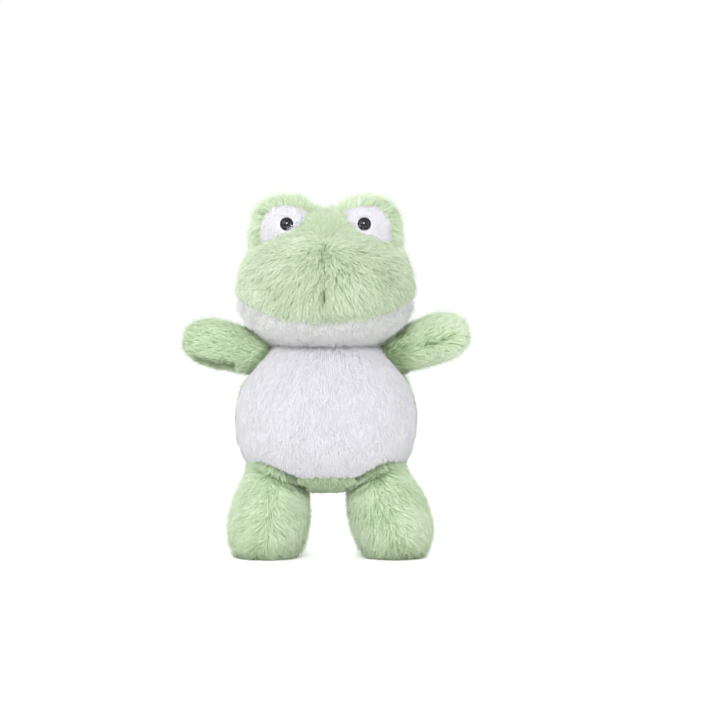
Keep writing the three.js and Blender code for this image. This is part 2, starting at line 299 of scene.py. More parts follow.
def backing_material(name, low, high, knit=1400.0):
    """The knitted backing with the roots of the pile: a fine ribbed knit with mottled dye."""
    m, t, p = new_material(name)
    where = t.nodes.new("ShaderNodeTexCoord")
    blotch = t.nodes.new("ShaderNodeTexNoise")
    blotch.inputs["Scale"].default_value = 90
    blotch.inputs["Detail"].default_value = 6
    t.links.new(where.outputs["Object"], blotch.inputs["Vector"])
    fine = t.nodes.new("ShaderNodeTexNoise")
    fine.inputs["Scale"].default_value = 900
    fine.inputs["Detail"].default_value = 3
    t.links.new(where.outputs["Object"], fine.inputs["Vector"])
    both = mix(t, 0.5, blotch.outputs["Color"], fine.outputs["Color"])
    col = ramp(t, [(0.3, low), (0.7, high)], both)
    t.links.new(col, p.inputs["Base Color"])
    rib = t.nodes.new("ShaderNodeTexWave")
    rib.inputs["Scale"].default_value = knit / 6.283
    rib.inputs["Distortion"].default_value = 1.5
    rib.inputs["Detail"].default_value = 2
    t.links.new(where.outputs["Object"], rib.inputs["Vector"])
    bump = t.nodes.new("ShaderNodeBump")
    bump.inputs["Strength"].default_value = 0.6
    bump.inputs["Distance"].default_value = 0.0004
    t.links.new(rib.outputs["Fac"], bump.inputs["Height"])
    t.links.new(bump.outputs["Normal"], p.inputs["Normal"])
    p.inputs["Roughness"].default_value = 0.95
    socket(p, "Sheen Weight").default_value = 0.2
    return m


def fibre_material():
    """Polyester filling: matted white fibres."""
    m, t, p = new_material("filling_fibre")
    where = t.nodes.new("ShaderNodeTexCoord")
    wisps = t.nodes.new("ShaderNodeTexNoise")
    wisps.inputs["Scale"].default_value = 260
    wisps.inputs["Detail"].default_value = 10
    wisps.inputs["Roughness"].default_value = 0.7
    wisps.inputs["Distortion"].default_value = 2.5
    t.links.new(where.outputs["Object"], wisps.inputs["Vector"])
    col = ramp(
        t,
        [(0.3, srgb(206, 206, 202)), (0.55, srgb(238, 238, 235)), (0.8, srgb(250, 250, 249))],
        wisps.outputs["Fac"],
    )
    t.links.new(col, p.inputs["Base Color"])
    bump = t.nodes.new("ShaderNodeBump")
    bump.inputs["Strength"].default_value = 0.9
    bump.inputs["Distance"].default_value = 0.0012
    t.links.new(wisps.outputs["Fac"], bump.inputs["Height"])
    t.links.new(bump.outputs["Normal"], p.inputs["Normal"])
    p.inputs["Roughness"].default_value = 1.0
    socket(p, "Sheen Weight").default_value = 0.3
    return m


def eye_material():
    """Polished black plastic, with the faint swirls that handling leaves."""
    m, t, p = new_material("eye_black")
    where = t.nodes.new("ShaderNodeTexCoord")
    swirl = t.nodes.new("ShaderNodeTexNoise")
    swirl.inputs["Scale"].default_value = 420
    swirl.inputs["Detail"].default_value = 5
    swirl.inputs["Distortion"].default_value = 3
    t.links.new(where.outputs["Object"], swirl.inputs["Vector"])
    col = ramp(t, [(0.35, srgb(15, 16, 18)), (0.7, srgb(24, 25, 28))], swirl.outputs["Fac"])
    t.links.new(col, p.inputs["Base Color"])
    rough = t.nodes.new("ShaderNodeMapRange")
    rough.inputs["From Min"].default_value = 0.3
    rough.inputs["From Max"].default_value = 0.75
    rough.inputs["To Min"].default_value = 0.04
    rough.inputs["To Max"].default_value = 0.09
    t.links.new(swirl.outputs["Fac"], rough.inputs["Value"])
    t.links.new(rough.outputs["Result"], p.inputs["Roughness"])
    socket(p, "Specular IOR Level").default_value = 0.36
    return m


def washer_material():
    """Natural white moulded plastic, slightly cloudy."""
    m, t, p = new_material("washer_white")
    where = t.nodes.new("ShaderNodeTexCoord")
    cloud = t.nodes.new("ShaderNodeTexNoise")
    cloud.inputs["Scale"].default_value = 300
    cloud.inputs["Detail"].default_value = 3
    t.links.new(where.outputs["Object"], cloud.inputs["Vector"])
    col = ramp(t, [(0.3, srgb(222, 222, 217)), (0.7, srgb(238, 238, 234))], cloud.outputs["Fac"])
    t.links.new(col, p.inputs["Base Color"])
    grain = t.nodes.new("ShaderNodeBump")
    grain.inputs["Strength"].default_value = 0.25
    grain.inputs["Distance"].default_value = 0.0001
    t.links.new(cloud.outputs["Fac"], grain.inputs["Height"])
    t.links.new(grain.outputs["Normal"], p.inputs["Normal"])
    p.inputs["Roughness"].default_value = 0.48
    return m


def thread_material():
    m, t, p = new_material("thread_green")
    where = t.nodes.new("ShaderNodeTexCoord")
    ply = t.nodes.new("ShaderNodeTexNoise")
    ply.inputs["Scale"].default_value = 1500
    ply.inputs["Detail"].default_value = 2
    t.links.new(where.outputs["Object"], ply.inputs["Vector"])
    col = ramp(t, [(0.3, srgb(150, 175, 128)), (0.7, srgb(190, 210, 168))], ply.outputs["Fac"])
    t.links.new(col, p.inputs["Base Color"])
    p.inputs["Roughness"].default_value = 0.7
    socket(p, "Sheen Weight").default_value = 0.25
    return m


# The darkest stops of the green and snout ramps, at low tone, are painted shade: the tone drops in creases, folds and
# the cleft reach down to them.
GREEN_PILE = pile_material(
    "pile_green_fibre",
    [(0.0, srgb(100, 124, 80)), (0.15, srgb(135, 163, 112)), (0.5, srgb(181, 205, 161)), (1.0, srgb(213, 231, 197))],
    [(0.0, srgb(140, 159, 125)), (0.15, srgb(182, 201, 167)), (0.5, srgb(209, 226, 196)), (1.0, srgb(238, 245, 232))],
    0.35,
    (0.95, 1.0, 0.92, 1.0),
)
# On the snout the tips are brushed paler and greyer.
SNOUT_PILE = pile_material(
    "pile_snout_fibre",
    [(0.0, srgb(103, 125, 85)), (0.15, srgb(138, 162, 117)), (0.5, srgb(181, 203, 161)), (1.0, srgb(211, 229, 195))],
    [(0.0, srgb(142, 157, 128)), (0.15, srgb(184, 199, 170)), (0.5, srgb(211, 224, 200)), (1.0, srgb(240, 245, 234))],
    0.35,
    (0.96, 1.0, 0.94, 1.0),
)
WHITE_PILE = pile_material(
    "pile_white_fibre",
    [(0.0, srgb(212, 211, 218)), (0.5, srgb(227, 226, 232)), (1.0, srgb(239, 239, 242))],
    [(0.0, srgb(217, 216, 222)), (0.5, srgb(230, 229, 234)), (1.0, srgb(244, 244, 246))],
    0.3,
    (1.0, 1.0, 1.0, 1.0),
)
CHIN_PILE = pile_material(
    "pile_chin_fibre",
    [(0.0, srgb(194, 196, 192)), (0.5, srgb(221, 222, 220)), (1.0, srgb(239, 240, 239))],
    [(0.0, srgb(208, 210, 207)), (0.5, srgb(230, 231, 230)), (1.0, srgb(248, 248, 248))],
    0.25,
    (1.0, 1.0, 1.0, 1.0),
)
GREEN_BACK = backing_material("backing_green", srgb(150, 178, 128), srgb(182, 206, 160))
WHITE_BACK = backing_material("backing_white", srgb(224, 223, 229), srgb(240, 240, 243))
FIBRE = fibre_material()
EYE = eye_material()
WASHER = washer_material()
THREAD = thread_material()

NEIGHBOURS = {
    "torso": ("head", "arm_left", "arm_right", "leg_left", "leg_right"),
    "head": ("torso", "arm_left", "arm_right"),
    "arm_left": ("torso", "head"),
    "arm_right": ("torso", "head"),
    "leg_left": ("torso", "leg_right"),
    "leg_right": ("torso", "leg_left"),
}

# ------------------------------------------------------------------ meshes


def read_mesh(obj):
    """(vertices in mm, triangles) of an object's mesh."""
    me = obj.data
    co = np.empty(len(me.vertices) * 3)
    me.vertices.foreach_get("co", co)
    me.calc_loop_triangles()
    tri = np.empty(len(me.loop_triangles) * 3, np.int64)
    me.loop_triangles.foreach_get("vertices", tri)
    return co.reshape(-1, 3) / MM, tri.reshape(-1, 3)


def new_object(name, mesh, material, body, slot, shade=True):
    obj = bpy.data.objects.new(name, mesh)
    scene.collection.objects.link(obj)
    mesh.materials.clear()
    mesh.materials.append(material)
    if shade:
        mesh.shade_smooth()
    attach(obj, body)
    return obj


def remeshed(node, voxel):
    """A copy of a CAD node's mesh as one even closed skin of small faces."""
    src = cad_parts[node]
    tmp = bpy.data.objects.new("tmp_remesh", src.data.copy())
    scene.collection.objects.link(tmp)
    mod = tmp.modifiers.new("even", "REMESH")
    mod.mode = "VOXEL"
    mod.voxel_size = voxel * MM
    mod.adaptivity = 0.0
    dg = bpy.context.evaluated_depsgraph_get()
    me = bpy.data.meshes.new_from_object(tmp.evaluated_get(dg))
    bpy.data.objects.remove(tmp)
    return me


def get_co(me):
    co = np.empty(len(me.vertices) * 3, np.float32)
    me.vertices.foreach_get("co", co)
    return co.reshape(-1, 3).astype(float) / MM


def set_co(me, P):
    me.vertices.foreach_set("co", (P * MM).astype(np.float32).ravel())
    me.update()


def near(points, query):
    """Distance from each query point to the nearest of points, and which one it is."""
    tree = KDTree(len(points))
    for i, p in enumerate(points):
        tree.insert(p, i)
    tree.balance()
    found = [tree.find(q) for q in query]
    return np.array([f[2] for f in found]), np.array([f[1] for f in found])


def groove_depth(P, N, grooves, widen=1.0):
    """How deep each point lies in the folds, given as lines in the front view: ((x, z), ...), depth, width."""
    deep = np.zeros(len(P))
    for line, depth, width in grooves:
        for (xa, za), (xb, zb) in zip(line, line[1:]):
            a, d = np.array([xa, za]), np.array([xb - xa, zb - za], float)
            q = P[:, [0, 2]] - a
            t = np.clip(q @ d / (d @ d), 0, 1)
            r = np.linalg.norm(q - t[:, None] * d, axis=1)
            deep = np.maximum(deep, depth * np.exp(-((r / (width * widen)) ** 2)))
    return deep * smooth(-N[:, 1], 0.05, 0.5)


class Skin:
    """One fabric panel: the CAD panel as an even mesh on the smooth body, drawn in along its seams and softly lumped."""

    def __init__(self, node, body, slot, material, puff=0.0, seam=1.5, seam_width=3.6, lump=0.5, voxel=1.0, grooves=(), seed=1):
        shape = SHAPES[body]
        me = remeshed(node, voxel)
        P = get_co(me)
        D = P - shape.at
        R = np.linalg.norm(D, axis=1)
        S = shape.surface(P)
        N, _ = shape.frame(S)
        leg = body.startswith("leg")
        # The side that a point is on is told by where the even mesh faces there. The facets of the CAD lie a little under the smooth body.
        vn = np.empty(len(me.vertices) * 3, np.float32)
        me.vertices.foreach_get("normal", vn)
        vn = vn.reshape(-1, 3).astype(float)
        facing = (vn * (D / R[:, None])).sum(1)
        flat = np.zeros(len(P), bool)
        if leg:
            flat = (P[:, 2] < 0.9) & (vn[:, 2] < -0.5)
            facing = np.where(flat, 1.0, facing)
        inner = 1 - smooth(facing, -0.45, 0.45)
        moved = S - N * (inner * (SKIN - 0.2))[:, None]
        outer_side = facing > 0.1
        # The panel's edge: where outer side points have an inner neighbour.
        edges = np.empty(len(me.edges) * 2, np.int64)
        me.edges.foreach_get("vertices", edges)
        edges = edges.reshape(-1, 2)
        mixed = outer_side[edges[:, 0]] != outer_side[edges[:, 1]]
        rim = np.unique(edges[mixed].ravel())
        self.rim = P[rim]
        gap, _ = near(P[rim], P) if len(rim) else (np.full(len(P), 99.0), None)
        # The panel isn't drawn in where it meets another body, so that no gap opens there.
        beside = np.min([SHAPES[b].height(P) for b in NEIGHBOURS[body]], axis=0)
        pull = seam * np.exp(-((gap / seam_width) ** 2)) * smooth(beside, 0.5, 5)
        lumps = lump * (0.65 * waves(P, 24, 11 + seed) + 0.35 * waves(P, 11, 12 + seed))
        lumps *= smooth(gap, 0, 8)
        self.grooves = grooves
        swell = puff * smooth(gap, 1, 9) + lumps - pull - groove_depth(P, N, grooves)
        out = moved + N * np.clip(swell, -2.6, 1.6)[:, None]
        if leg:
            out[:, 2] = np.maximum(out[:, 2], 1.5 + 2.0 * inner)
        set_co(me, out)
        self.node, self.body, self.shape, self.slot = node, body, shape, slot
        self.obj = new_object("skin_" + node, me, material, body, slot)
        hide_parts(node)
        self.out, self.outer, self.gap = out, outer_side, gap
        me.calc_loop_triangles()
        tri = np.empty(len(me.loop_triangles) * 3, np.int64)
        me.loop_triangles.foreach_get("vertices", tri)
        self.tri = tri.reshape(-1, 3)

    def roots(self, per_mm2, seed, on_sole=False):
        """Random points on the outer side, with the surface normal of the panel there and the distance to its edge."""
        under = self.out[:, 2] < 1.7
        flag = self.outer & under if on_sole else self.outer & ~under
        tri = self.tri[flag[self.tri].all(1)]
        A, B, C = (self.out[tri[:, i]] for i in range(3))
        cross = np.cross(B - A, C - A)
        area = np.linalg.norm(cross, axis=1) / 2
        if on_sole:
            down = cross[:, 2] < -0.6 * 2 * area
            tri, A, B, C, cross, area = (x[down] for x in (tri, A, B, C, cross, area))
        rng = np.random.default_rng(seed)
        n = int(area.sum() * per_mm2)
        if n == 0:
            return np.zeros((0, 3)), np.zeros((0, 3)), np.zeros(0)
        pick = rng.choice(len(tri), n, p=area / area.sum())
        u, v = rng.random(n), rng.random(n)
        flip = u + v > 1
        u, v = np.where(flip, 1 - u, u), np.where(flip, 1 - v, v)
        w = 1 - u - v
        P = A[pick] * w[:, None] + B[pick] * u[:, None] + C[pick] * v[:, None]
        G = (self.gap[tri[pick]] * np.stack([w, u, v], 1)).sum(1)
        return P, unit(cross[pick]), G


# ------------------------------------------------------------------ pile

LONG = np.array([0.0, 0.3, 0.65, 1.0])
SHORT = np.array([0.0, 0.45, 1.0])
ROOT_DEPTH = 0.7


def grown(shape, P, T, H, L, curl, base, STEPS):
    """Curves of pile fibres: they rise from the skin, bend over and lie along the comb direction T, at height H and length L."""
    C = [None]
    pos = P.copy()
    N0, h0 = shape.frame(pos)
    C[0] = P - N0 * ROOT_DEPTH
    done = np.zeros(len(P))
    for t in STEPS[1:]:
        d = L * t**1.25
        turn = curl * (t - 0.15)
        B = np.cross(N0, T)
        D = T * np.cos(turn)[:, None] + B * np.sin(turn)[:, None]
        pos = pos + D * (d - done)[:, None]
        done = d
        N, h = shape.frame(pos)
        pos = pos - N * h[:, None]
        T = across(T, N)
        N0 = N
        rise = 1 - (1 - t) ** 2.2
        C.append(pos + N * (H * rise + h0 * (1 - t) * 0.6 + base * t)[:, None])
    return np.stack(C, 1)  # n, steps, 3


TORSO_TREE = []


def off_torso_skin(P, where):
    """Distance from the torso's fabric, worked out only where it is asked for."""
    if not TORSO_TREE:
        pts = np.concatenate([k.out for k in skins.values() if k.body == "torso"])
        tree = KDTree(len(pts))
        for i, p in enumerate(pts):
            tree.insert(p, i)
        tree.balance()
        TORSO_TREE.append(tree)
    d = np.full(len(P), 99.0)
    for i in np.flatnonzero(where):
        d[i] = TORSO_TREE[0].find(P[i])[2]
    return d


def clear_of(name, shape, P, depth, room, in_opening):
    """Which points are clear of another body. The opening that a limb stands in counts as clear too, off the fabric round it."""
    h = shape.height(P)
    clear = h > depth
    if in_opening and name == "torso":
        inside = (h > -17) & ~clear
        clear |= inside & (off_torso_skin(P, inside) > room)
    return clear


class Pile:
    """The standing pile of one panel."""

    def __init__(
        self,
        skin,
        comb,
        material,
        density,
        height,
        length,
        width=0.5,
        clump=2.3,
        hold=0.75,
        wander=0.35,
        ruffle=0.22,
        seam_short=0.2,
        part=0.0,
        curl=0.2,
        tone=None,
        tone_spread=1.0,
        seed=1,
        steps=LONG,
        round=0.5,
        crease=0.0,
        loose_share=0.12,
        kept=None,
    ):
        self.skin, self.seed, self.steps, self.round = skin, seed, steps, round
        shape = skin.shape
        scale = 1.0
        P, _, gap = skin.roots(density * scale, 100 + seed)
        if skin.body.startswith("leg"):
            Q, _, g = skin.roots(density * 0.45 * scale, 200 + seed, on_sole=True)
            P, gap = np.concatenate([P, Q]), np.concatenate([gap, np.maximum(g, 4)])
        # Roots under another body's skin or under an eye carry no pile.
        keep = np.ones(len(P), bool)
        limb = skin.body.startswith(("arm", "leg"))
        others = {b: SHAPES[b] for b in NEIGHBOURS[skin.body]}
        for b, o in others.items():
            keep &= clear_of(b, o, P, -0.4, 1.0, limb)
        if limb:  # thinner pile does where it mostly stands inside the body
            deep = SHAPES["torso"].height(P) < -4
            keep &= ~deep | (np.random.default_rng(500 + seed).random(len(P)) < 0.55)
        for s, (c, n) in EYES.items():
            v = P - c
            r = np.linalg.norm(v - (v @ n)[:, None] * n, axis=1)
            keep &= ~((r < 5.1) & (np.abs(v @ n) < 8) & (skin.body == "head"))
        rng = np.random.default_rng(300 + seed)
        share = 1.0
        if kept is not None:  # the pile is thicker in some places than in others
            dense = kept(P)
            keep &= rng.random(len(P)) < dense
            share = float(dense.mean())
        P, gap = P[keep], gap[keep]
        n = len(P)
        N, _ = shape.frame(P)
        H, L = height(P) if callable(height) else np.full(n, height), (
            length(P) if callable(length) else np.full(n, length)
        )
        # Guides, one to a tuft.
        gn = max(8, int(n / (density * share * scale * clump**2)))
        gi = rng.choice(n, gn, replace=False)
        _, owner = near(P[gi], P)
        short = 1 - seam_short * np.exp(-((gap / 2.0) ** 2))
        deep = groove_depth(P, N, skin.grooves, 1.2) / 1.5
        beside_fold = groove_depth(P, N, skin.grooves, 2.2) / 1.5
        short *= 1 - 0.6 * np.minimum(beside_fold, 1)
        # Beside a seam the fibres lean both ways across it, which hides the stitching.
        loose_edge = 0.5 * np.exp(-((gap / 2.2) ** 2))

        def direction(points, normals, jitter, r):
            D = across(comb(points), normals)
            side = np.cross(normals, D)
            r0 = ruffle(points) if callable(ruffle) else ruffle
            sway = wander * waves(points, 19, 21 + seed) + r0 * waves(points, 8, 22 + seed)
            ang = sway + jitter * r0 * r.normal(size=len(points))
            return ang, D, side

        def bent(ang, D, side):
            return D * np.cos(ang)[:, None] + side * np.sin(ang)[:, None]

        GP, GN = P[gi], N[gi]
        ang, D, side = direction(GP, GN, 1.0, rng)
        GT = bent(ang + loose_edge[gi] * rng.normal(size=gn), D, side)
        gH = H[gi] * rng.uniform(0.82, 1.18, gn)
        gL = L[gi] * rng.uniform(0.8, 1.12, gn) * short[gi]
        gcurl = rng.normal(size=gn) * curl * 1.3
        G = grown(shape, GP, GT, gH * short[gi], gL, gcurl, 0.0, steps)
        ang, D, side = direction(P, N, 0.7, rng)
        T = bent(ang + loose_edge * rng.normal(size=n), D, side)
        # A few loose fibres stand above the rest and make the soft outline.
        loose = rng.random(n) < loose_share
        sH = H * rng.uniform(0.75, 1.12, n) * short * np.where(loose, rng.uniform(1.2, 1.8, n), 1.0)
        sL = L * rng.uniform(0.78, 1.08, n) * short
        C = grown(shape, P, T, sH, sL, rng.normal(size=n) * curl, 0.0, steps)
        g = G[owner]
        held = hold(P) if callable(hold) else hold
        c = np.where(loose, 0.1, held * rng.uniform(0.7, 1.15, n))
        for i, t in enumerate(steps[1:], 1):
            C[:, i] += (g[:, i] - C[:, i]) * (np.minimum(c, 0.95) * t**0.8)[:, None]
        thin = np.where(loose, 0.65, 1.0)
        # A fibre that would run into a neighbouring body is cut short, or dropped if there is no room for that either.
        def free(C):
            ok = np.ones(len(C), bool)
            for b, o in others.items():
                for i in range(len(steps) - 2, len(steps)):
                    ok &= clear_of(b, o, C[:, i], -1.2, 0.5, limb)
            return ok

        ok = free(C)
        for part in (0.7, 0.5, 0.33):
            bad = np.flatnonzero(~ok)
            if len(bad):
                cut = C[bad, :1] + (C[bad] - C[bad, :1]) * part
                fits = free(cut)
                C[bad[fits]] = cut[fits]
                ok[bad[fits]] = True
        for s, (ec, en) in EYES.items():
            if skin.body == "head":
                for i in range(1, len(steps)):
                    v = C[:, i] - ec
                    up = v @ en
                    r = np.linalg.norm(v - up[:, None] * en, axis=1)
                    dome = 0.85 + 3.15 * np.sqrt(np.maximum(1 - (r / EYE_R) ** 2, 0))
                    ok &= ~((r < 4.95) & (up > -1) & ((up < dome + 0.15) | (r < 2.4)))
        C, P, gap, owner, thin, deep = C[ok], P[ok], gap[ok], owner[ok], thin[ok], deep[ok]
        n = len(P)
        C[..., 2] = np.maximum(C[..., 2], 0.35)
        if tone is None:
            base = np.full(n, 0.5)
        else:
            base = tone(P)
        g_tone = rng.normal(size=gn)
        spread = tone_spread(P) if callable(tone_spread) else tone_spread
        value = (
            base
            + spread
            * (0.05 * waves(P, 30, 31 + seed) + 0.085 * g_tone[owner] + 0.095 * rng.normal(size=n))
        )
        # Painted shade: the pile is darker in the folds of the panel.
        value -= 0.5 * np.minimum(deep, 1)
        # Painted shade: the pile is darker close to a neighbouring body, where shade falls between the parts.
        if crease:
            beside = np.min([o.height(P) for o in others.values()], axis=0)
            value -= crease * np.exp(-((np.maximum(beside, 0) / 4.5) ** 2))
        self.tone = np.clip(value, 0.01, 0.99)
        self.C, self.P = C, P
        self.width = width * thin * rng.uniform(0.75, 1.2, n)
        self.material = material

    def build(self, most=12000):
        n = len(self.C)
        parts = max(1, math.ceil(n / most))
        order = np.random.default_rng(5).permutation(n)
        for k in range(parts):
            pick = order[k::parts]
            name = "pile_" + self.skin.node + (f"_{k + 1}" if parts > 1 else "")
            self.mesh(name, self.C[pick], self.tone[pick], self.width[pick])
        return n

    def mesh(self, name, C, tone, width):
        STEPS = self.steps
        n, K = len(C), len(STEPS)
        WIDTHS = 1 - 0.6 * STEPS**1.5
        shape = self.skin.shape
        flow = np.gradient(C, axis=1)
        flow = unit(flow)
        N, _ = shape.frame(C[:, 1])
        rng = np.random.default_rng(7)
        roll = rng.uniform(0, 2 * np.pi / 3, n)
        rings, normals = [], []
        for i in range(K - 1):
            side = unit(np.cross(flow[:, i], N))
            up = np.cross(side, flow[:, i])
            for j in range(3):
                a = roll + j * 2 * np.pi / 3
                r = side * np.cos(a)[:, None] + up * np.sin(a)[:, None]
                rings.append(C[:, i] + r * (width * 0.5 * WIDTHS[i])[:, None])
                normals.append(r * self.round + N * 0.85)
        rings.append(C[:, -1])
        normals.append(N * 0.6 + flow[:, -1] * 0.5)
        V = np.stack(rings, 1)  # n, 3(K-1)+1, 3
        NN = unit(np.stack(normals, 1))
        per = V.shape[1]
        faces4, faces3 = [], []
        for i in range(K - 2):
            for j in range(3):
                a, b = i * 3 + j, i * 3 + (j + 1) % 3
                faces4.append((b, a, a + 3, b + 3))
        last = (K - 2) * 3
        for j in range(3):
            faces3.append((last + (j + 1) % 3, last + j, per - 1))
        faces3.append((0, 1, 2))
        offs = (np.arange(n) * per)[:, None, None]
        q = (np.array(faces4)[None] + offs).reshape(-1, 4)
        t = (np.array(faces3)[None] + offs).reshape(-1, 3)
        loops = np.concatenate([q.ravel(), t.ravel()])
        starts = np.concatenate(
            [np.arange(len(q)) * 4, len(q) * 4 + np.arange(len(t)) * 3]
        )
        me = bpy.data.meshes.new(name)
        me.vertices.add(n * per)
        me.vertices.foreach_set("co", (V * MM).astype(np.float32).ravel())
        me.loops.add(len(loops))
        me.loops.foreach_set("vertex_index", loops.astype(np.int32))
        me.polygons.add(len(starts))
        me.polygons.foreach_set("loop_start", starts.astype(np.int32))
        me.update(calc_edges=True)
        me.shade_smooth()
        along = np.concatenate([np.repeat(STEPS[:-1], 3), [1.0]])
        a = me.attributes.new("tone", "FLOAT", "POINT")
        a.data.foreach_set("value", np.repeat(tone, per).astype(np.float32))
        a = me.attributes.new("along", "FLOAT", "POINT")
        a.data.foreach_set("value", np.tile(along, n).astype(np.float32))
        # A strip of the tone and root-to-tip chart for each fibre.
        spot = np.concatenate([np.tile([-1.0, 0.0, 1.0], K - 1), [0.0]]) * 0.004
        u = 0.01 + 0.98 * (np.repeat(tone, per) * 0.98 + 0.01 + np.tile(spot, n))
        v = 0.01 + 0.98 * np.tile(along, n)
        uv = me.uv_layers.new(name="OFBake")
        flat = np.stack([u[loops], v[loops]], 1).astype(np.float32)
        uv.data.foreach_set("uv", flat.ravel())
        me.normals_split_custom_set_from_vertices(NN.reshape(-1, 3).astype(np.float32))
        obj = new_object(name, me, self.material, self.skin.body, self.skin.slot, shade=False)
        return obj


# ------------------------------------------------------------------ the panels

skins = {}


def skin(node, body, white=False, **kw):
    skins[node] = Skin(
        node,
        body,
        "pile_white" if white else "pile_green",
        WHITE_BACK if white else GREEN_BACK,
        seed=len(skins),
        **kw,
    )


FOLDS = {
    "arm_right": [(((-92, 147.5), (-86, 145.4), (-80, 143.8), (-73, 143.4), (-66, 141.6)), 2.3, 1.4)],
    "arm_left": [(((71, 155.5), (80, 157.5), (92, 162.5)), 1.2, 1.4)],
    "leg_right": [
        (((-40, 63), (-34, 59.5), (-26, 57), (-19, 52), (-12, 49.5)), 1.7, 1.2),
        (((-36, 57.5), (-29, 54), (-24, 52.5), (-14, 46)), 1.1, 1.1),
        (((-46, 66), (-38, 61)), 1.1, 1.5),
    ],
    "leg_left": [
        (((44, 65.5), (37, 61), (30, 58.5), (23, 53), (16, 50)), 1.6, 1.2),
        (((40, 59), (34, 56.5), (27, 51)), 1.0, 1.1),
    ],
}
skin("belly_panel", "torso", white=True, seam=1.3, lump=0.3)
skin("seat_panel", "torso", seam=1.3)
for side in ("left", "right"):
    skin(f"back_panel_{side}", "torso")
    skin(f"muzzle_panel_{side}", "head", puff=0.6, seam=1.2)
    skin(f"eye_hood_{side}", "head", puff=0.5)
    skin(f"eye_patch_{side}", "head", white=True, seam=1.0, lump=0.2, seam_width=2.5)
    skin(f"head_back_{side}", "head")
    for half in ("front", "back"):
        skin(f"arm_{side}_{half}", f"arm_{side}", lump=0.4, grooves=FOLDS[f"arm_{side}"])
    for half in ("outer", "inner"):
        skin(f"leg_{side}_{half}", f"leg_{side}", lump=0.4, grooves=FOLDS[f"leg_{side}"])
skin("chin_panel", "head", white=True, seam=1.4)

MUZZLE_TOP = (0.0, -46.0, 228.0)


def comb_front(P):
    """The muzzle's pile spreads from the bridge of the nose, and over the brow it lies to both sides. It lies down beside the middle seam, parts at the cleft and sweeps to one side under it."""
    x, z = P[:, 0], P[:, 2]
    stray = 3.2 * waves(P, 1.6, 61) * smooth(z, 203, 210)
    above = np.clip(z, MUZZLE_TOP[2] + 1.5 * waves(P, 1.6, 64), 251.0)
    back = 0.25 + 0.5 * smooth(P[:, 1], -25, 5)
    D = unit(np.stack([x + stray, back * (P[:, 1] - MUZZLE_TOP[1]), z - above], 1))
    D[:, 2] -= 0.3 * (1 - smooth(z, 240, 252)) + 0.5 * np.exp(-((from_crown(P) / 7) ** 2))
    close = np.exp(-((x / 6.0) ** 2)) * (1 - smooth(z, 203, 216))
    D = D * (1 - close)[:, None] + np.array([0, 0, -1.0]) * close[:, None]
    cleft = 0.65 * np.exp(-(((z - 194.5) / 7.5) ** 2)) * np.exp(-((x / 3.5) ** 2))
    cross = np.exp(-((x / 2.2) ** 2)) * (1 - cleft)
    sweep = np.exp(-(((z - 181) / 4.5) ** 2)) * smooth(x, -5, 1) * (1 - smooth(x, 12, 24))
    D[:, 0] += np.sign(x) * (0.75 * cleft - 0.3 * cross) + 1.7 * sweep
    return D


def comb_back(P):
    w = smooth(P[:, 1], 14, 46)[:, None]
    return unit(spread_from(MUZZLE_TOP, P)) * (1 - w) + np.array([0, 0.1, -1.0]) * w


def comb_hood(s):
    """The hood's pile runs along the hood, from its inner end over the top and down the outer side, and leans outwards."""
    centre = np.array([33.0 * s, -16.0, 241.0])

    def f(P):
        out = unit(P - centre)
        along = np.stack([s * out[:, 2], np.zeros(len(P)), -s * out[:, 0]], 1)
        inner = smooth(-s * out[:, 0], 0.3, 0.9)[:, None]
        return out * (0.75 + 0.5 * inner) + along * (0.8 - 0.5 * inner) + np.array([0, 0.1, 0.15])

    return f


def comb_patch(s):
    """The patch's pile lies downwards. On the side of the nose and under the eye it lies over the rim of the eye."""

    def f(P):
        v = P - EYES[s][0]
        r = np.linalg.norm(v, axis=1)
        away = unit(v)
        over = smooth(-s * away[:, 0] - away[:, 2], 0.5, 1.2)
        w = smooth(r, 5.5, 9)[:, None]
        near_eye = away * (1 - 1.9 * over)[:, None]
        return near_eye * (1.15 - w) + np.array([0.25 * s, 0, -1.0]) * w

    return f


def tall_patch(s):
    def f(P):
        v = P - EYES[s][0]
        r = np.linalg.norm(v, axis=1)
        away = unit(v)
        over = smooth(-s * away[:, 0] - away[:, 2], 0.5, 1.2) * (1 - smooth(r, 7, 10))
        return 1.4 + 1.9 * over

    return f


def comb_chin(P):
    back = 0.35 - 0.5 * (1 - smooth(P[:, 2], 162, 170))
    return np.stack([P[:, 0] / 90, back, -1 + P[:, 1] * 0], 1)


def comb_belly(P):
    """Down, and at the side seam in tufts over the back panels."""
    over = smooth(P[:, 1], -7, 2) * np.clip(0.3 + 0.5 * waves(P, 9, 81) + 0.25 * waves(P, 3.5, 82), -0.1, 1)
    return np.stack([P[:, 0] / 150 + 0.07 * waves(P, 5, 84), 0.05 + 0.75 * over, -1 + P[:, 1] * 0], 1)


def comb_down(P):
    over = (1 - smooth(P[:, 1], 4, 12)) * np.clip(0.2 + 0.5 * waves(P, 9, 86) + 0.25 * waves(P, 3.5, 87), -0.1, 1)
    return np.stack([P[:, 0] / 160, 0.15 - 0.75 * over, -1 + P[:, 1] * 0], 1)


def comb_arm(body, s):
    def f(P):
        L = SHAPES[body].local(P)
        side = np.tanh((L[:, 2] + 1.2 * waves(P, 14, 63) + 3.0 * waves(P, 1.6, 65)) / 5.5) * (0.55 if s > 0 else 0.4)
        D = np.stack([np.full(len(P), 1.0 * s), L[:, 1] / 22, side - 0.12], 1)
        return D @ SHAPES[body].R.T

    return f


